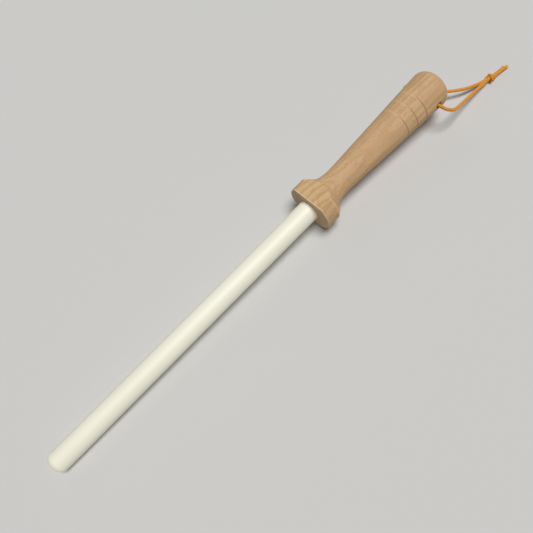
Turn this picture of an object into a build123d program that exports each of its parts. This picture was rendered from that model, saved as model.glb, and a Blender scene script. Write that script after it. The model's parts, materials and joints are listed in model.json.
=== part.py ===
"""Sharpening steel: a white ceramic rod glued into a turned beech handle, with a hanging loop.

It lies at rest on z = 0, pommel towards +X, touching the bench with the guard's rim and the tip.
The guard has one flat, which faces up. The loop's hole runs along Y. Millimetres.
"""

import os
from math import asin, cos, degrees, pi, radians, sin, sqrt, tan

from build123d import *

# Ceramic rod
rod_exposed = 216.0      # from the guard's front face to the tip
rod_radius = 7.1
tip_round = 3.8          # edge radius of the tip
tip_crown = 1.5          # how far the middle of the tip stands proud of its edge
butt_depth = 36.0        # length of rod inside the handle
butt_radius = 6.0        # thinner than the rod, so that the neck keeps enough wood round it

# Glue around the butt
glue_gap = 0.25
glue_floor = 0.6
glue_sink = 0.2          # how far the glue's edge has sunk into the bore's chamfered mouth
bore_mouth = 7.45        # radius of the bore's mouth, a little over the rod's

# Turned handle, measured from the guard's front face
guard_radius = 16.55
guard_width = 9.7
guard_flat = 12.3        # distance of the flat from the axis
rim_round = 0.6
flat_edge_round = 0.35
cove_start = (15.0, 11.66)
cove_middle = (19.0, 9.93)
neck = (26.5, 9.17)
taper_start = (34.0, 9.45)
handle_length = 119.5
pommel_radius = 13.7
pommel_crown = 0.9
pommel_round = 5.8
groove_places = (79.8, 88.3, 96.6)
groove_width = 0.9
groove_depth = 0.4

# Hanging loop
hole_place = 107.9
hole_radius = 2.0
hole_lip = 0.9           # rounding of the hole's mouths
cord_radius = 1.0
knot_centre = (209.6, -16.9, 2.6)
knot_radius = 2.6

# The two strands, as corners of their route from the hole to the knot, measured from the hole's
# centre. The right one leaves on the -Y side, the left one turns down and passes under the pommel.
right_route = [
    (0.0, -13.2, 0.0), (0.0, -17.3, 0.0), (2.3, -20.4, -1.5), (6.6, -21.3, -4.1),
    (13.4, -20.3, -7.3), (24.5, -18.9, -11.2), (38.8, -17.6, -15.2), (53.0, -17.0, -17.7),
]
left_route = [
    (0.0, 11.4, 0.0), (0.0, 13.5, 0.0), (0.3, 15.0, -1.6), (1.2, 15.1, -4.1),
    (3.8, 14.7, -7.8), (8.7, 11.6, -11.2), (15.9, 3.9, -12.5), (24.9, -6.6, -13.6),
    (38.4, -13.9, -16.5), (53.0, -15.6, -19.6),
]
# The two tails, from the knot outwards, in the row's own frame
upper_tail_route = [(210.0, -16.5, 1.7), (214.4, -16.6, 1.1), (218.8, -17.2, 1.05), (223.2, -17.4, 1.05)]
lower_tail_route = [(210.0, -18.1, 3.1), (214.6, -18.2, 2.5), (219.6, -18.8, 2.4), (224.6, -19.6, 1.8)]


# Resting tilt: the guard's rim and the tip's edge are both round, and touch the bench together
tip_crown_radius = (rod_radius ** 2 + tip_crown ** 2) / (2 * tip_crown)
tip_arc_centre = rod_exposed - tip_crown_radius + sqrt(
    (tip_crown_radius - tip_round) ** 2 - (rod_radius - tip_round) ** 2
)
tilt = 0.0
for _ in range(8):
    rim_reach = (guard_radius - rim_round) * cos(tilt) + rim_round
    tip_reach = (rod_radius - tip_round) * cos(tilt) + tip_round
    tilt = asin((rim_reach - tip_reach) / (tip_arc_centre + rim_round))

guard_front = Vector(
    (rod_exposed - handle_length) / 2 * cos(tilt),
    0,
    rim_reach - rim_round * sin(tilt),
)
along = Vector(cos(tilt), 0, sin(tilt))
up = Vector(-sin(tilt), 0, cos(tilt))
side_plane = Plane(origin=guard_front, x_dir=along, z_dir=(0, -1, 0))    # x along the steel, y up
steel_axis = Axis(guard_front, along)
hole_centre = guard_front + along * hole_place


def taper_radius(place):
    """Radius of the handle's straight taper at a distance behind the guard's front face."""
    pommel_edge = handle_length - pommel_crown
    share = (place - taper_start[0]) / (pommel_edge - taper_start[0])
    return taper_start[1] + share * (pommel_radius - taper_start[1])


def corner_radii(points, share=0.45):
    """Radius of each corner of a route: as large as the shorter of its two runs allows."""
    radii = []
    for before, corner, after in zip(points, points[1:], points[2:]):
        run_in = Vector(corner) - Vector(before)
        run_out = Vector(after) - Vector(corner)
        half_turn = run_in.get_angle(run_out) / 2
        radii.append(share * min(run_in.length, run_out.length) / tan(radians(half_turn)))
    return radii


def cord_along(points, name):
    """A plain round tube of cord along straight runs joined by tangent arcs."""
    radii = corner_radii(points)
    with BuildPart() as tube:
        with BuildLine():
            centre_line = FilletPolyline(*points, radius=radii)
        with BuildSketch(Plane(origin=centre_line @ 0, z_dir=centre_line % 0)):
            Circle(cord_radius)
        sweep(path=centre_line)
    swept = centre_line.length * pi * cord_radius ** 2
    print(name, "length", round(centre_line.length, 1), "radii", [round(r, 1) for r in radii])
    print("    volume over section times length", round(tube.part.volume / swept, 4))
    return tube.part


# --- Ceramic rod ---------------------------------------------------------------------------
with BuildPart() as ceramic_rod:
    with BuildSketch(side_plane) as rod_half:
        with BuildLine():
            Polyline(
                (-rod_exposed, 0), (butt_depth, 0), (butt_depth, butt_radius), (0, butt_radius),
                (0, rod_radius), (-rod_exposed + tip_crown, rod_radius),
            )
            RadiusArc(
                (-rod_exposed + tip_crown, rod_radius), (-rod_exposed, 0),
                -tip_crown_radius,
            )
        make_face()
        tip_corner = rod_half.vertices().group_by(Axis.Y)[-1].sort_by(Axis.X)[0]
        fillet(tip_corner, tip_round)
    revolve(axis=steel_axis)
ceramic_rod.part.label = "ceramic_rod"

# --- Glue in the bore -----------------------------------------------------------------------
bore_radius = butt_radius + glue_gap
bore_depth = butt_depth + glue_floor
bore_chamfer = bore_mouth - bore_radius
with BuildPart() as rod_glue:
    with BuildSketch(side_plane):
        with BuildLine():
            Polyline(
                (0, butt_radius), (0, rod_radius), (glue_sink, bore_mouth - glue_sink),
                (bore_chamfer, bore_radius), (bore_depth, bore_radius),
                (bore_depth, 0), (butt_depth, 0), (butt_depth, butt_radius), close=True,
            )
        make_face()
    revolve(axis=steel_axis)
rod_glue.part.label = "rod_glue"

# --- Beech handle ---------------------------------------------------------------------------
pommel_edge = (handle_length - pommel_crown, pommel_radius)
with BuildPart() as beech_handle:
    with BuildSketch(side_plane) as handle_half:
        with BuildLine():
            Polyline((0, 0), (0, guard_radius), (guard_width, guard_radius), cove_start)
            Spline(
                cove_start, cove_middle, neck, taper_start,
                tangents=[(1, -0.85), (1, 0.05)],
            )
            Line(taper_start, pommel_edge)
            RadiusArc(
                pommel_edge, (handle_length, 0),
                (pommel_radius ** 2 + pommel_crown ** 2) / (2 * pommel_crown),
            )
            Line((handle_length, 0), (0, 0))
        make_face()
        rim_corners = handle_half.vertices().group_by(Axis.Y)[-1]
        fillet(rim_corners, rim_round)
        pommel_corner = handle_half.vertices().sort_by_distance(pommel_edge)[0]
        fillet(pommel_corner, pommel_round)
    revolve(axis=steel_axis)

    # the one flat, which runs from the guard's front face into the cove
    with BuildSketch(Plane(origin=guard_front + up * guard_flat, x_dir=along, z_dir=up)):
        Rectangle(4 * guard_width, 3 * guard_radius)
    extrude(amount=guard_radius, mode=Mode.SUBTRACT)
    flat_face = beech_handle.faces().filter_by(Plane(guard_front, x_dir=along, z_dir=up)).sort_by(Axis.Z)[-1]
    fillet(flat_face.edges(), flat_edge_round)

    # blind bore for the rod, with a chamfered mouth
    with BuildSketch(side_plane):
        with BuildLine():
            Polyline(
                (0, 0), (0, bore_mouth), (bore_chamfer, bore_radius),
                (bore_depth, bore_radius), (bore_depth, 0), close=True,
            )
        make_face()
    revolve(axis=steel_axis, mode=Mode.SUBTRACT)

    # turned grooves, each a shallow V
    with BuildSketch(side_plane):
        for place in groove_places:
            surface = taper_radius(place)
            with BuildLine():
                Polyline(
                    (place - groove_width, surface + groove_depth), (place, surface - groove_depth),
                    (place + groove_width, surface + groove_depth), close=True,
                )
            make_face()
    revolve(axis=steel_axis, mode=Mode.SUBTRACT)

    # cross hole for the hanging loop
    with BuildSketch(Plane(origin=hole_centre, z_dir=(0, 1, 0))):
        Circle(hole_radius)
    extrude(amount=2 * pommel_radius, both=True, mode=Mode.SUBTRACT)
    for side in (-1, 1):
        mouth = hole_centre + Vector(0, side * taper_radius(hole_place), 0)
        fillet(beech_handle.edges().sort_by_distance(mouth)[0], hole_lip)
beech_handle.part.label = "beech_handle"

# --- Hanging loop ---------------------------------------------------------------------------
with BuildPart() as loop_knot:
    with Locations(Vector(*knot_centre)):
        Sphere(knot_radius)
loop_knot.part.label = "loop_knot"

right_mouth = hole_centre + Vector(*right_route[0])
left_mouth = hole_centre + Vector(*left_route[0])
with BuildPart() as cord_in_hole:
    with BuildSketch(Plane(origin=right_mouth, z_dir=(0, 1, 0))):
        Circle(cord_radius)
    extrude(amount=(left_mouth - right_mouth).length)
cord_in_hole.part.label = "cord_in_hole"


def from_hole(route):
    """A route given from the hole's centre, in the row's own frame."""
    return [tuple(hole_centre + Vector(*point)) for point in route]


right_tube = cord_along(from_hole(right_route), "loop_strand_right")
with BuildPart() as loop_strand_right:
    add(right_tube)
    add(loop_knot.part, mode=Mode.SUBTRACT)
loop_strand_right.part.label = "loop_strand_right"

left_tube = cord_along(from_hole(left_route), "loop_strand_left")
with BuildPart() as loop_strand_left:
    add(left_tube)
    add(loop_knot.part, mode=Mode.SUBTRACT)
loop_strand_left.part.label = "loop_strand_left"

upper_tail_tube = cord_along(upper_tail_route, "cord_tail_upper")
with BuildPart() as cord_tail_upper:
    add(upper_tail_tube)
    add(loop_knot.part, mode=Mode.SUBTRACT)
cord_tail_upper.part.label = "cord_tail_upper"

lower_tail_tube = cord_along(lower_tail_route, "cord_tail_lower")
with BuildPart() as cord_tail_lower:
    add(lower_tail_tube)
    add(loop_knot.part, mode=Mode.SUBTRACT)
cord_tail_lower.part.label = "cord_tail_lower"

# --- Files ----------------------------------------------------------------------------------
os.makedirs("parts", exist_ok=True)
export_step(ceramic_rod.part, "parts/ceramic_rod.step")
export_step(rod_glue.part, "parts/rod_glue.step")
export_step(beech_handle.part, "parts/beech_handle.step")
export_step(cord_in_hole.part, "parts/cord_in_hole.step")
export_step(loop_strand_right.part, "parts/loop_strand_right.step")
export_step(loop_strand_left.part, "parts/loop_strand_left.step")
export_step(loop_knot.part, "parts/loop_knot.step")
export_step(cord_tail_upper.part, "parts/cord_tail_upper.step")
export_step(cord_tail_lower.part, "parts/cord_tail_lower.step")
print("tilt", round(degrees(tilt), 3), "guard front", guard_front, "hole centre", hole_centre)
print("straight length of the exposed rod", round(tip_arc_centre, 3))
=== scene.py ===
"""Looks for a ceramic sharpening steel: beech handle, white rod and a knotted hanging cord."""

import json
import math
import random

import bpy
import numpy as np
from mathutils import Matrix, Vector


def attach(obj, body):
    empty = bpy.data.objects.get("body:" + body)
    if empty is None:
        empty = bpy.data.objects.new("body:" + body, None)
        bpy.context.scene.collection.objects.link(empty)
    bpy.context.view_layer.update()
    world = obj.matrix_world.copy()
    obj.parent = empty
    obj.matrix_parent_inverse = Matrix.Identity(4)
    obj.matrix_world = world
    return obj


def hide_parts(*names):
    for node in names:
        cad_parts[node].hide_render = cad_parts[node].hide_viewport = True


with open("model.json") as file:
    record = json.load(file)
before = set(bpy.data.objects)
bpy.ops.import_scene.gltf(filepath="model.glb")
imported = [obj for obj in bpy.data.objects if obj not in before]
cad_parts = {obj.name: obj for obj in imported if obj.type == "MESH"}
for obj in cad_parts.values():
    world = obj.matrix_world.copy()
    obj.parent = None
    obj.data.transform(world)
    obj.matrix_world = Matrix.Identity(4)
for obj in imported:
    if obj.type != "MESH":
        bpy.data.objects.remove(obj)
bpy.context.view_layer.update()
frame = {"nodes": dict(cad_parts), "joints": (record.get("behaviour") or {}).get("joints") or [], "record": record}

MM = 0.001

# ---------------------------------------------------------------------------------------------
# Places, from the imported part
# ---------------------------------------------------------------------------------------------
mounts = {mount["name"]: mount for mount in frame["record"]["mounts"]}
HOLE = Vector(frame["joints"][0]["pos_m"])                 # centre of the loop's hole
ALONG = -Vector(mounts["rod"]["axis"]).normalized()        # the steel's axis, towards the pommel
HOLE_PLACE = 107.9 * MM                                    # the hole, behind the guard's front face
GUARD_FRONT = HOLE - ALONG * HOLE_PLACE
TILT = math.atan2(ALONG.z, ALONG.x)
GROOVE_PLACES = (79.8, 88.3, 96.6)                         # mm behind the guard's front face
GUARD_WIDTH = 9.7                                          # mm
GUARD_RADIUS = 16.55                                       # mm

# ---------------------------------------------------------------------------------------------
# The cord's route: the same points as the part's own, in millimetres
# ---------------------------------------------------------------------------------------------
CORD_RADIUS = 1.0 * MM
KNOT_CORD_RADIUS = 0.86 * MM      # pulled tight, the cord is thinner in its knot
TAIL_CORD_RADIUS = 0.92 * MM

RIGHT_ROUTE = [
    (0.0, -13.2, 0.0), (0.0, -17.3, 0.0), (2.3, -20.4, -1.5), (6.6, -21.3, -4.1),
    (13.4, -20.3, -7.3), (24.5, -18.9, -11.2), (38.8, -17.6, -15.2), (53.0, -17.0, -17.7),
]
LEFT_ROUTE = [
    (0.0, 11.4, 0.0), (0.0, 13.5, 0.0), (0.3, 15.0, -1.6), (1.2, 15.1, -4.1),
    (3.8, 14.7, -7.8), (8.7, 11.6, -11.2), (15.9, 3.9, -12.5), (24.9, -6.6, -13.6),
    (38.4, -13.9, -16.5), (50.2, -15.4, -19.2),
]
UPPER_TAIL_ROUTE = [(212.4, -16.5, 1.5), (214.9, -16.6, 1.1), (218.8, -17.2, 1.05), (223.2, -17.4, 1.05)]
LOWER_TAIL_ROUTE = [(210.0, -18.1, 3.1), (214.6, -18.2, 2.5), (219.6, -18.7, 2.4), (223.9, -19.2, 1.9)]

# The knot: the left strand goes round the right one and over itself. Each point is a distance
# along the knot's axis, an angle round it from the +Y side over the top, and a distance from it.
KNOT_CENTRE = Vector((209.6, -17.1, 2.75)) * MM
KNOT_AXIS = Vector((4.6, -0.9, -0.7)).normalized()
KNOT_TURNS = [
    (-2.5, -12, 1.95), (-1.7, 22, 1.65), (-0.5, 62, 1.55), (0.8, 105, 1.6),
    (1.35, 160, 2.05), (1.3, 220, 1.95), (0.9, 275, 1.6), (0.3, 330, 2.0),
    (-0.5, 380, 2.35), (-1.0, 425, 2.3), (-1.3, 475, 2.45), (-1.4, 530, 2.95),
    (-1.1, 590, 1.95), (-0.3, 640, 1.6), (0.9, 685, 1.55), (2.1, 715, 1.5),
]

# ---------------------------------------------------------------------------------------------
# Camera
# ---------------------------------------------------------------------------------------------
CAMERA_PLACE = Vector((-45.7, -132.4, 290.4)) * MM
CAMERA_AIM = Vector((2.4, -7.5, 16.5)) * MM
CAMERA_ROLL = math.radians(-25.07)
CAMERA_LENS = 33.66               # mm, on a sensor 36 mm wide
CAMERA_SENSOR = 36.0


def add_camera():
    data = bpy.data.cameras.new("camera")
    data.lens = CAMERA_LENS
    data.sensor_width = CAMERA_SENSOR
    data.clip_start = 0.01
    camera = bpy.data.objects.new("camera", data)
    bpy.context.scene.collection.objects.link(camera)
    camera.location = CAMERA_PLACE
    look = (CAMERA_AIM - CAMERA_PLACE).to_track_quat("-Z", "Y").to_matrix()
    camera.rotation_euler = (look @ Matrix.Rotation(CAMERA_ROLL, 3, "Z")).to_euler()
    bpy.context.scene.camera = camera


# ---------------------------------------------------------------------------------------------
# Node helpers
# ---------------------------------------------------------------------------------------------
class Shading:
    """A material's node tree, with short ways to add the nodes used here."""

    def __init__(self, name):
        self.material = bpy.data.materials.new(name)
        self.material.use_nodes = True
        self.nodes = self.material.node_tree.nodes
        self.links = self.material.node_tree.links
        self.shader = self.nodes["Principled BSDF"]

    def add(self, kind, **settings):
        node = self.nodes.new(kind)
        for key, setting in settings.items():
            setattr(node, key, setting)
        return node

    def feed(self, socket, source):
        """A socket is fed by another one, or set to a number."""
        if isinstance(source, bpy.types.NodeSocket):
            self.links.new(source, socket)
        else:
            socket.default_value = source

    def set(self, name, source):
        self.feed(self.shader.inputs[name], source)

    def math(self, operation, *sources, clamp=False):
        node = self.add("ShaderNodeMath", operation=operation, use_clamp=clamp)
        for socket, source in zip(node.inputs, sources):
            self.feed(socket, source)
        return node.outputs[0]

    def swing(self, noise, amount):
        """A noise as a value that swings amount / 2 either way of 0."""
        return self.math("MULTIPLY", self.math("SUBTRACT", noise, 0.5), amount)

    def total(self, *sources):
        result = sources[0]
        for source in sources[1:]:
            result = self.math("ADD", result, source)
        return result

    def split(self, vector):
        node = self.add("ShaderNodeSeparateXYZ")
        self.links.new(vector, node.inputs[0])
        return node.outputs

    def join(self, x, y, z):
        node = self.add("ShaderNodeCombineXYZ")
        for socket, source in zip(node.inputs, (x, y, z)):
            self.feed(socket, source)
        return node.outputs[0]

    def map_to(self, vector, scale=(1, 1, 1), place=(0, 0, 0), turn=(0, 0, 0), kind="POINT"):
        node = self.add("ShaderNodeMapping", vector_type=kind)
        self.links.new(vector, node.inputs["Vector"])
        node.inputs["Location"].default_value = place
        node.inputs["Rotation"].default_value = turn
        node.inputs["Scale"].default_value = scale
        return node.outputs[0]

    def noise(self, vector, scale=1.0, detail=2.0, roughness=0.5):
        node = self.add("ShaderNodeTexNoise")
        self.links.new(vector, node.inputs["Vector"])
        node.inputs["Scale"].default_value = scale
        node.inputs["Detail"].default_value = detail
        node.inputs["Roughness"].default_value = roughness
        return node.outputs["Fac"]

    def cells(self, vector):
        """Scattered spots, about one to each unit: the distance from the nearest, and its own colour."""
        node = self.add("ShaderNodeTexVoronoi", feature="F1")
        self.links.new(vector, node.inputs["Vector"])
        node.inputs["Scale"].default_value = 1.0
        return node.outputs["Distance"], node.outputs["Color"]

    def step(self, source, start, end, low=0.0, high=1.0):
        """Goes smoothly from low, where the source is at start, to high, where it is at end."""
        node = self.add("ShaderNodeMapRange", interpolation_type="SMOOTHSTEP")
        self.feed(node.inputs["Value"], source)
        node.inputs["From Min"].default_value = start
        node.inputs["From Max"].default_value = end
        node.inputs["To Min"].default_value = low
        node.inputs["To Max"].default_value = high
        return node.outputs["Result"]

    def near(self, source, place, reach, soft):
        """1 where the source is within reach of place, and 0 a little further out."""
        away = self.math("ABSOLUTE", self.math("SUBTRACT", source, place))
        return self.step(away, reach, reach + soft, 1.0, 0.0)

    def mix(self, share, first, second, blend="MIX"):
        node = self.add("ShaderNodeMix", data_type="RGBA", blend_type=blend)
        self.feed(node.inputs["Factor"], share)
        for socket, source in zip((node.inputs[6], node.inputs[7]), (first, second)):
            self.feed(socket, source if isinstance(source, bpy.types.NodeSocket) else (*source, 1.0))
        return node.outputs[2]

    def steel_space(self):
        """Millimetres along and across the steel, from the middle of the guard's front face."""
        place = self.add("ShaderNodeTexCoord").outputs["Object"]
        return self.map_to(place, (MM, MM, MM), GUARD_FRONT, (0, -TILT, 0), "TEXTURE")

    def bump(self, height, distance):
        node = self.add("ShaderNodeBump")
        self.feed(node.inputs["Height"], height)
        node.inputs["Distance"].default_value = distance
        self.links.new(node.outputs["Normal"], self.shader.inputs["Normal"])


# ---------------------------------------------------------------------------------------------
# Materials
# ---------------------------------------------------------------------------------------------
# All sizes in this part of the script are millimetres.
PITH = (40.0, -54.0)               # from the handle's axis to the middle of the tree: along +Y, and up
PITH_DISTANCE = 67.0               # the same as one distance
PITH_SLOPE = (0.055, -0.045)       # how the grain runs out of the handle
GRAIN_DRIFT = 7.0                  # how far the grain wanders
RING_WIDTH = 2.3
RAY_SIZE = (2.5, 0.44, 2.6)        # along the handle, round the tree and out from its middle
FLECK_SIZE = (8.0, 2.0, 5.0)
BEECH_LIGHT = (0.625, 0.425, 0.225)
BEECH_MIDDLE = (0.500, 0.315, 0.150)
BEECH_DARK = (0.380, 0.220, 0.098)
BEECH_PINK = (0.550, 0.335, 0.185)
# pale tint for worn edges, also used as the painted highlight on the +Y side of each groove
BEECH_RUBBED_AND_HIGHLIGHT = (0.80, 0.60, 0.37)
# darker tint for end grain, which on the guard's front face also stands for painted shade
END_GRAIN_AND_SHADE = (0.70, 0.64, 0.60)
# dark tint for groove dirt, also used as the painted shade on the -Y side of each groove
GROOVE_DUST_AND_SHADE = (0.28, 0.16, 0.08)

CERAMIC_LIGHT, CERAMIC_DEEP = (0.885, 0.870, 0.735), (0.860, 0.842, 0.700)
CERAMIC_GRAIN = (0.72, 0.70, 0.60)
GLUE_LIGHT, GLUE_DARK = (0.30, 0.20, 0.10), (0.18, 0.12, 0.06)
# the darker cord colours tint random patches and are also painted shade round the sides of each strand and loose
# filament
BRAID_LIGHT, BRAID_DEEP_AND_SHADE = (0.920, 0.420, 0.030), (0.460, 0.125, 0.004)
FIBRE_LIGHT, FIBRE_DEEP_AND_SHADE = (0.950, 0.660, 0.150), (0.840, 0.430, 0.050)
CORD_SHEEN = (1.0, 0.72, 0.35, 1.0)
FLOOR = (0.60, 0.60, 0.595, 1.0)


def one_over(sizes):
    return tuple(1 / size for size in sizes)


def make_beech():
    wood = Shading("beech")
    space = wood.steel_space()
    x, y, z = wood.split(space)

    # the grain wanders a little
    drift = wood.noise(wood.map_to(space, (0.016, 0.05, 0.05)), detail=1.0)
    drift_2 = wood.noise(wood.map_to(space, (0.02, 0.06, 0.06), (7, 3, 5)), detail=1.0)
    from_pith_y, from_pith_z = [
        wood.total(
            wood.math("MULTIPLY_ADD", x, slope, across), wood.math("MULTIPLY", wander, GRAIN_DRIFT),
            -pith - GRAIN_DRIFT / 2,
        )
        for slope, across, wander, pith in zip(PITH_SLOPE, (y, z), (drift, drift_2), PITH)
    ]
    squares = wood.math("ADD", wood.math("POWER", from_pith_y, 2.0), wood.math("POWER", from_pith_z, 2.0))
    radial = wood.math("SQRT", squares)
    tangential = wood.math("MULTIPLY", wood.math("ARCTAN2", from_pith_y, from_pith_z), PITH_DISTANCE)

    # growth rings, each ending in a thin darker line
    ring = wood.math("FRACT", wood.math("DIVIDE", radial, RING_WIDTH))
    late_wood = wood.math("MULTIPLY", wood.step(ring, 0.35, 0.95), wood.step(ring, 0.97, 1.0, 1.0, 0.0))

    # rays: thin short dashes seen from outside the tree, broad flecks seen from its side
    tree_space = wood.join(x, tangential, radial)
    ray_distance, ray_tint = wood.cells(wood.map_to(tree_space, one_over(RAY_SIZE)))
    ray_share = wood.math("MULTIPLY", wood.step(ray_distance, 0.16, 0.40, 1.0, 0.0), wood.split(ray_tint)[0])
    fleck_distance, fleck_tint = wood.cells(wood.map_to(tree_space, one_over(FLECK_SIZE), (3, 1, 2)))
    fleck_share = wood.math(
        "MULTIPLY", wood.step(fleck_distance, 0.12, 0.36, 1.0, 0.0),
        wood.step(wood.split(fleck_tint)[1], 0.35, 0.8),
    )

    # pores and fine fibres
    fibre = wood.noise(wood.map_to(space, (0.16, 3.2, 3.2)), detail=3.0, roughness=0.65)
    streak = wood.noise(wood.map_to(space, (0.03, 0.55, 0.55)), detail=2.0, roughness=0.6)
    mottle = wood.noise(wood.map_to(space, (0.045, 0.14, 0.14)), detail=3.0, roughness=0.55)

    darkness = wood.total(
        wood.math("MULTIPLY", late_wood, 0.75),
        wood.swing(fibre, 1.7), wood.swing(streak, 1.0), wood.swing(mottle, 1.7), 0.22,
    )
    colour = wood.mix(darkness, BEECH_LIGHT, BEECH_MIDDLE)
    blush = wood.noise(wood.map_to(space, (0.02, 0.05, 0.05), (11, 4, 8)), detail=1.0)
    colour = wood.mix(wood.step(blush, 0.48, 0.72, 0.0, 0.55), colour, BEECH_PINK)
    colour = wood.mix(wood.math("MULTIPLY", ray_share, 0.85), colour, BEECH_DARK)
    colour = wood.mix(wood.math("MULTIPLY", fleck_share, 0.34), colour, BEECH_DARK)

    # end grain drinks more light and finish: the guard's front face and the pommel's end; the guard's front face
    # is darkened more than the other end-grain faces, and that extra darkening is painted shade
    normal = wood.add("ShaderNodeTexCoord").outputs["Normal"]
    facing = wood.add("ShaderNodeVectorMath", operation="DOT_PRODUCT")
    wood.links.new(normal, facing.inputs[0])
    facing.inputs[1].default_value = ALONG
    end_grain = wood.step(wood.math("ABSOLUTE", facing.outputs["Value"]), 0.62, 0.97)
    # full strength on the guard's front face and 0.45 elsewhere: the front face's extra darkening is painted shade
    front = wood.math("MULTIPLY", end_grain, wood.step(x, 2.0, 6.0, 1.0, 0.45))
    colour = wood.mix(front, colour, END_GRAIN_AND_SHADE, "MULTIPLY")

    # each turned groove is worn a little pale and is a little dusty all round; its extra paleness
    # towards +Y is painted highlight and its extra darkness towards -Y is painted shade. The guard's sharp edges
    # are worn pale
    groove_wear_and_highlight, dust_and_shade = 0.0, 0.0
    for place in GROOVE_PLACES:
        groove_wear_and_highlight = wood.math("ADD", groove_wear_and_highlight, wood.near(x, place, 0.45, 0.3))
        dust_and_shade = wood.math("ADD", dust_and_shade, wood.near(x, place, 0.30, 0.3))
    # the pale groove tint grows towards +Y: painted highlight
    groove_wear_and_highlight = wood.math("MULTIPLY", groove_wear_and_highlight, wood.step(y, -9.0, 0.0, 0.2, 1.0))
    # the dark groove tint grows towards -Y: painted shade
    dust_and_shade = wood.math("MULTIPLY", dust_and_shade, wood.step(y, -11.0, 3.0, 0.34, 0.08))
    reach = wood.math("SQRT", wood.math("ADD", wood.math("POWER", y, 2.0), wood.math("POWER", z, 2.0)))
    rear_edge = wood.math(
        "MULTIPLY", wood.near(x, GUARD_WIDTH - 0.2, 0.2, 0.4),
        wood.step(reach, GUARD_RADIUS - 0.9, GUARD_RADIUS - 0.3),
    )
    front_edge = wood.near(x, 0.35, 0.33, 0.3)
    # edge wear plus the pale groove tint, which is partly painted highlight
    rubbed_and_highlight = wood.total(front_edge, rear_edge, wood.math("MULTIPLY", groove_wear_and_highlight, 1.3))
    colour = wood.mix(wood.math("MULTIPLY", rubbed_and_highlight, 0.5), colour, BEECH_RUBBED_AND_HIGHLIGHT)
    # dark groove tint: dirt all round, painted shade towards -Y
    colour = wood.mix(dust_and_shade, colour, GROOVE_DUST_AND_SHADE)
    wood.set("Base Color", colour)

    wood.shader.inputs["Specular IOR Level"].default_value = 0.35
    wood.set("Roughness", wood.math("MULTIPLY_ADD", fibre, 0.22, 0.56))
    height = wood.total(
        wood.math("MULTIPLY", fibre, 0.9), wood.math("MULTIPLY", ray_share, -0.35),
        wood.math("MULTIPLY", streak, 0.5),
    )
    wood.bump(height, 0.06 * MM)
    return wood.material


def make_ceramic():
    ceramic = Shading("ceramic")
    space = ceramic.steel_space()
    x, y, z = ceramic.split(space)
    around = ceramic.math("ARCTAN2", y, z)
    # fine lines from grinding, which run along the rod
    ground = ceramic.noise(
        ceramic.join(ceramic.math("MULTIPLY", x, 0.05), ceramic.math("MULTIPLY", around, 38.0), 0.0),
    )
    grain = ceramic.noise(space, scale=5.0, detail=3.0, roughness=0.7)
    cloud = ceramic.noise(ceramic.map_to(space, (0.012, 0.09, 0.09)), detail=3.0)
    colour = ceramic.mix(ceramic.step(cloud, 0.35, 0.70), CERAMIC_LIGHT, CERAMIC_DEEP)
    colour = ceramic.mix(ceramic.step(grain, 0.62, 0.85, 0.0, 0.12), colour, CERAMIC_GRAIN)
    ceramic.set("Base Color", colour)
    ceramic.set("Roughness", ceramic.math("MULTIPLY_ADD", grain, 0.20, 0.38))
    height = ceramic.math("ADD", grain, ceramic.math("MULTIPLY", ground, 0.6))
    ceramic.bump(height, 0.012 * MM)
    return ceramic.material


def make_glue():
    glue = Shading("glue")
    space = glue.steel_space()
    lumps = glue.noise(space, scale=1.4, detail=3.0)
    colour = glue.mix(glue.step(lumps, 0.3, 0.7), GLUE_LIGHT, GLUE_DARK)
    glue.set("Base Color", colour)
    glue.set("Roughness", glue.math("MULTIPLY_ADD", lumps, 0.2, 0.25))
    glue.bump(lumps, 0.10 * MM)
    return glue.material


CROWN = 0.25              # where a strand's outermost line is in its UV map


def make_cord(name, light, deep_and_shade):
    """Braided fibre: filaments run along each strand of the braid."""
    cord = Shading(name)
    place = cord.add("ShaderNodeUVMap", uv_map="along").outputs["UV"]
    filaments = cord.noise(cord.map_to(place, (0.35, 13.0, 1.0)), detail=2.0, roughness=0.6)
    patches = cord.noise(cord.map_to(place, (0.11, 0.6, 1.0)), detail=2.0)
    unshaded_crown = cord.near(cord.split(place)[1], CROWN, 0.07, 0.16)    # paler along each strand's outermost line; round its sides the darker colour is painted shade
    share = cord.math("MULTIPLY", cord.step(filaments, 0.25, 0.60, 0.45, 1.0), unshaded_crown)
    # away from each strand's outermost line the darker colour is painted shade in the braid's crevices
    colour = cord.mix(share, deep_and_shade, light)
    colour = cord.mix(cord.step(patches, 0.45, 0.80, 0.0, 0.35), colour, deep_and_shade)
    cord.set("Base Color", colour)
    cord.set("Roughness", cord.math("MULTIPLY_ADD", filaments, 0.25, 0.36))
    cord.shader.inputs["Sheen Weight"].default_value = 0.25
    cord.shader.inputs["Sheen Tint"].default_value = CORD_SHEEN
    cord.bump(filaments, 0.05 * MM)
    return cord.material


def make_floor():
    paper = Shading("pale_floor")
    paper.shader.inputs["Base Color"].default_value = FLOOR
    paper.shader.inputs["Roughness"].default_value = 0.9
    paper.shader.inputs["Specular IOR Level"].default_value = 0.2
    return paper.material


# ---------------------------------------------------------------------------------------------
# Cord lines
# ---------------------------------------------------------------------------------------------
def from_hole(route):
    """A route measured from the hole's centre, as points in metres."""
    return [HOLE + Vector(point) * MM for point in route]


def in_frame(route):
    """A route in the part's own millimetres, as points in metres."""
    return [Vector(point) * MM for point in route]


def knot_route():
    """The knot's turns as points in metres."""
    side = (Vector((0, 1, 0)) - KNOT_AXIS * KNOT_AXIS.y).normalized()
    top = KNOT_AXIS.cross(side)
    points = []
    for along, angle, reach in KNOT_TURNS:
        turn = math.radians(angle)
        outward = side * math.cos(turn) + top * math.sin(turn)
        points.append(KNOT_CENTRE + KNOT_AXIS * along * MM + outward * reach * MM)
    return points


LINE_STEPS = 32           # points on a smooth line for each point of its route
LINE_ORDER = 3


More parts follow.
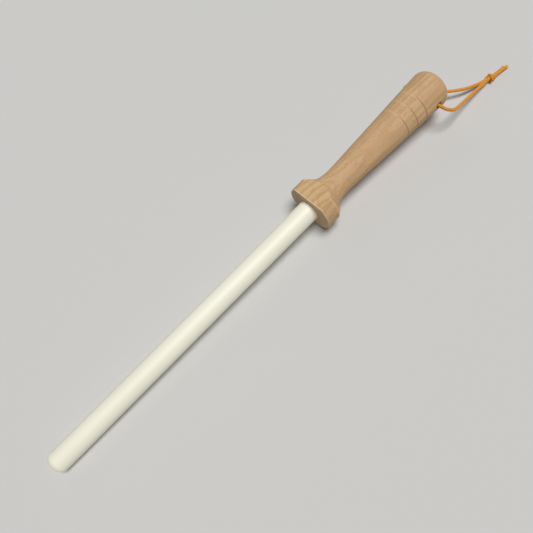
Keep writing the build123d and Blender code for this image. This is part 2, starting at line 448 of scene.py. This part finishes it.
def smooth_line(route):
    """Points along the NURBS spline that has the route as its control points."""
    data = bpy.data.curves.new("line", "CURVE")
    data.dimensions = "3D"
    data.resolution_u = LINE_STEPS
    spline = data.splines.new("NURBS")
    spline.points.add(len(route) - 1)
    for point, place in zip(spline.points, route):
        point.co = (*place, 1.0)
    spline.order_u = LINE_ORDER
    spline.use_endpoint_u = True
    holder = bpy.data.objects.new("line", data)
    mesh = bpy.data.meshes.new_from_object(holder)
    points = np.array([vertex.co for vertex in mesh.vertices], float)
    bpy.data.objects.remove(holder)
    bpy.data.curves.remove(data)
    bpy.data.meshes.remove(mesh)
    return points


SAME_POINT = 1e-7         # metres: points nearer than this are one


class Line:
    """A line with evenly spaced points and the frames along it."""

    def __init__(self, stretches, spacing):
        points = np.concatenate(stretches)
        gaps = np.linalg.norm(np.diff(points, axis=0), axis=1)
        points = points[np.r_[True, gaps > SAME_POINT]]
        run = np.r_[0, np.cumsum(np.linalg.norm(np.diff(points, axis=0), axis=1))]
        self.run = np.linspace(0, run[-1], int(run[-1] / spacing) + 1)
        self.points = np.stack([np.interp(self.run, run, points[:, i]) for i in range(3)], axis=1)
        self.tangents = np.gradient(self.points, axis=0)
        self.tangents /= np.linalg.norm(self.tangents, axis=1)[:, None]
        normals = []
        normal = np.array([0.0, 0.0, 1.0])
        for tangent in self.tangents:
            normal = normal - tangent * (normal @ tangent)
            normal /= np.linalg.norm(normal)
            normals.append(normal)
        self.normals = np.array(normals)
        self.binormals = np.cross(self.tangents, self.normals)

    def nearest(self, place):
        return int(np.linalg.norm(self.points - np.array(place), axis=1).argmin())


# ---------------------------------------------------------------------------------------------
# Cord meshes
# ---------------------------------------------------------------------------------------------
class Tubes:
    """Collects tubes and builds them into one mesh, with a UV map that runs along each tube."""

    def __init__(self):
        self.points, self.faces, self.uvs = [], [], []

    def add(self, centres, sides, ups, widths, heights, run, section=8):
        """A tube with an oval section: widths along sides, heights along ups, closed at both ends."""
        first, count = len(self.points), len(centres)
        angles = np.linspace(0, 2 * math.pi, section, endpoint=False)
        rings = (
            centres[:, None, :]
            + sides[:, None, :] * (np.cos(angles)[None, :] * widths[:, None])[:, :, None]
            + ups[:, None, :] * (np.sin(angles)[None, :] * heights[:, None])[:, :, None]
        )
        self.points.extend(map(tuple, rings.reshape(-1, 3)))
        for i in range(count - 1):
            near, far = first + i * section, first + (i + 1) * section
            for j in range(section):
                k = (j + 1) % section
                self.faces.append((near + j, near + k, far + k, far + j))
                low, high = j / section, (j + 1) / section
                self.uvs.extend([(run[i], low), (run[i], high), (run[i + 1], high), (run[i + 1], low)])
        last = first + (count - 1) * section
        self.faces.append(tuple(first + j for j in reversed(range(section))))
        self.faces.append(tuple(last + j for j in range(section)))
        self.uvs.extend([(run[0], 0.5)] * section + [(run[-1], 0.5)] * section)

    def build(self, name, material):
        mesh = bpy.data.meshes.new(name)
        mesh.from_pydata(self.points, [], self.faces)
        layer = mesh.uv_layers.new(name="along")
        layer.data.foreach_set("uv", np.array(self.uvs, np.float32).ravel())
        mesh.polygons.foreach_set("use_smooth", np.ones(len(mesh.polygons), bool))
        mesh.materials.append(material)
        mesh.update()
        piece = bpy.data.objects.new(name, mesh)
        bpy.context.scene.collection.objects.link(piece)
        return piece


BRAID_PITCH = 6.0 * MM    # along the cord for one turn of a strand round it
CARRIERS = 4              # strands in each direction
LINE_SPACING = 0.18 * MM
# as shares of the cord's radius
STRAND_LIFT = 0.86        # a strand's middle, from the cord's axis
WEAVE_LIFT = 0.11         # how far it goes over and under that
STRAND_WIDTH = 0.43
STRAND_HEIGHT = 0.19
CORE_RADIUS = 0.74
# shifts, in mm, that keep the fibres of neighbouring strands from looking alike
CARRIER_SHIFT = 3.7
TURN_SHIFT = 1.9


def braid(tubes, line, radii, start, end):
    """The braid round a stretch of a line: strands that cross over and under, on a plain core."""
    part = slice(start, end + 1)
    run, points, radius = line.run[part], line.points[part], radii[part]
    normals, binormals = line.normals[part], line.binormals[part]
    for turn in (1, -1):
        for carrier in range(CARRIERS):
            angle = turn * 2 * math.pi * run / BRAID_PITCH + 2 * math.pi * carrier / CARRIERS
            weave = np.cos(2 * CARRIERS * math.pi * run / BRAID_PITCH)
            lift = radius * (STRAND_LIFT + turn * WEAVE_LIFT * weave)
            outward = np.cos(angle)[:, None] * normals + np.sin(angle)[:, None] * binormals
            centres = points + outward * lift[:, None]
            direction = np.gradient(centres, axis=0)
            direction /= np.linalg.norm(direction, axis=1)[:, None]
            across = np.cross(direction, outward)
            across /= np.linalg.norm(across, axis=1)[:, None]
            tubes.add(
                centres, across, np.cross(across, direction), radius * STRAND_WIDTH, radius * STRAND_HEIGHT,
                run / MM + carrier * CARRIER_SHIFT + turn * TURN_SHIFT,
            )
    core = radius * CORE_RADIUS
    tubes.add(points, normals, binormals, core, core, run / MM, section=12)


TUFT_FILAMENTS = 70
TUFT_REACH = 1.7 * MM


def fray(tubes, line, end_radius, seed, at_end):
    """Loose filaments that spread from an end of the line."""
    dice = random.Random(seed)
    i = len(line.points) - 1 if at_end else 0
    outwards = line.tangents[i] * (1 if at_end else -1)
    for _ in range(TUFT_FILAMENTS):
        angle = dice.uniform(0, 2 * math.pi)
        spread = math.sqrt(dice.random())
        across = math.cos(angle) * line.normals[i] + math.sin(angle) * line.binormals[i]
        root = line.points[i] - outwards * 0.5 * MM + across * spread * end_radius * 0.85
        length = TUFT_REACH * dice.uniform(0.55, 1.1)
        lean = across * dice.uniform(0.15, 0.62) * spread
        bend = dice.uniform(-0.3, 0.3) * line.normals[i] + dice.uniform(-0.3, 0.3) * line.binormals[i]
        shares = np.linspace(0, 1, 7)
        centres = np.array([root + (outwards * s + lean * s * s + bend * s ** 3) * length for s in shares])
        thickness = dice.uniform(0.055, 0.085) * MM
        centres[:, 2] = np.maximum(centres[:, 2], thickness)          # none goes through the floor
        direction = np.gradient(centres, axis=0)
        direction /= np.linalg.norm(direction, axis=1)[:, None]
        sides = np.cross(direction, across)
        sides /= np.linalg.norm(sides, axis=1)[:, None]
        widths = thickness * np.linspace(1.0, 0.6, len(shares))
        tubes.add(centres, sides, np.cross(sides, direction), widths, widths, shares * length / MM, section=5)


# ---------------------------------------------------------------------------------------------
# Build
# ---------------------------------------------------------------------------------------------
add_camera()

beech, ceramic, glue = make_beech(), make_ceramic(), make_glue()
orange_braid = make_cord("orange_braid", BRAID_LIGHT, BRAID_DEEP_AND_SHADE)
gold_fibre = make_cord("gold_fibre", FIBRE_LIGHT, FIBRE_DEEP_AND_SHADE)


def paint(node, material):
    slots = frame["nodes"][node].data.materials
    slots.clear()
    slots.append(material)


paint("beech_handle", beech)
paint("ceramic_rod", ceramic)
paint("rod_glue", glue)

# One cord: lower tail, right strand, hole, left strand, knot, upper tail
right_line = smooth_line(from_hole(RIGHT_ROUTE))
left_line = smooth_line(from_hole(LEFT_ROUTE))
knot_line = smooth_line([left_line[-1], *knot_route(), in_frame(UPPER_TAIL_ROUTE)[0]])
upper_line = smooth_line(in_frame(UPPER_TAIL_ROUTE))
lower_line = smooth_line(in_frame(LOWER_TAIL_ROUTE))
hole_line = np.linspace(right_line[0], left_line[0], 12)

cord = Line([lower_line[::-1], right_line[::-1], hole_line, left_line, knot_line, upper_line], LINE_SPACING)
lower_root = cord.nearest(lower_line[0])
knot_in = cord.nearest(right_line[-1])
right_mouth = cord.nearest(right_line[0])
left_mouth = cord.nearest(left_line[0])
knot_start = cord.nearest(left_line[-1])
knot_end = cord.nearest(upper_line[0])
last = len(cord.points) - 1

# the cord thins gradually into its knot and its tails
OUTSIDE, INSIDE = 12, 8   # points from the knot's edge over which it does so
radius_at = {
    0: TAIL_CORD_RADIUS,
    lower_root: TAIL_CORD_RADIUS,
    knot_in + OUTSIDE: CORD_RADIUS,
    knot_start - OUTSIDE: CORD_RADIUS,
    knot_start + INSIDE: KNOT_CORD_RADIUS,
    knot_end - INSIDE: KNOT_CORD_RADIUS,
    knot_end + OUTSIDE: TAIL_CORD_RADIUS,
    last: TAIL_CORD_RADIUS,
}
cord_radii = np.interp(np.arange(last + 1), list(radius_at), list(radius_at.values()))


def loop_piece(name, tubes, material):
    piece = tubes.build(name, material)
    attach(piece, "hanging_loop")
    return piece


def cord_piece(name, node, *stretches):
    """Braided cord over one or more stretches of the line, in place of a CAD node."""
    tubes = Tubes()
    for start, end in stretches:
        braid(tubes, cord, cord_radii, start, end)
    piece = loop_piece(name, tubes, orange_braid)
    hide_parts(node)
    return piece


def tuft(name, at_end, seed):
    tubes = Tubes()
    fray(tubes, cord, TAIL_CORD_RADIUS, seed, at_end)
    return loop_piece(name, tubes, gold_fibre)


right_strand = cord_piece("braided_strand_right", "loop_strand_right", (knot_in, right_mouth))
cord_piece("braided_cord_in_hole", "cord_in_hole", (right_mouth, left_mouth))
left_strand = cord_piece("braided_strand_left", "loop_strand_left", (left_mouth, knot_start))
upper_tail = cord_piece("braided_tail_upper", "cord_tail_upper", (knot_end, last))
lower_tail = cord_piece("braided_tail_lower", "cord_tail_lower", (0, lower_root))
knot = cord_piece("overhand_knot", "loop_knot", (knot_start, knot_end), (lower_root, knot_in))
upper_tuft = tuft("frayed_end_upper", True, 3)
lower_tuft = tuft("frayed_end_lower", False, 5)

# ---------------------------------------------------------------------------------------------
# Floor and light
# ---------------------------------------------------------------------------------------------
FLOOR_REACH = 12.0
floor_mesh = bpy.data.meshes.new("floor")
corners = [(x * FLOOR_REACH, y * FLOOR_REACH, 0) for x, y in ((-1, -1), (1, -1), (1, 1), (-1, 1))]
floor_mesh.from_pydata(corners, [], [(0, 1, 2, 3)])
floor_mesh.materials.append(make_floor())
floor = bpy.data.objects.new("floor", floor_mesh)
bpy.context.scene.collection.objects.link(floor)


def soft_light(name, direction, strength, width, colour):
    """A broad light, width degrees across, so far away that it falls evenly along the whole rod."""
    data = bpy.data.lights.new(name, "SUN")
    data.energy = strength
    data.angle = math.radians(width)
    data.color = colour
    light = bpy.data.objects.new(name, data)
    bpy.context.scene.collection.objects.link(light)
    light.rotation_euler = Vector(direction).to_track_quat("Z", "Y").to_euler()


soft_light("key", (0.12, -0.26, 1.09), 2.72, 27, (1, 0.985, 0.96))
soft_light("side", (0.05, 0.9, 0.6), 0.22, 31, (1, 0.98, 0.95))

world = bpy.data.worlds.new("studio")
world.use_nodes = True
world.node_tree.nodes["Background"].inputs["Color"].default_value = (0.93, 0.96, 1, 1)
world.node_tree.nodes["Background"].inputs["Strength"].default_value = 0.13
bpy.context.scene.world = world
bpy.context.scene.view_settings.view_transform = "Standard"
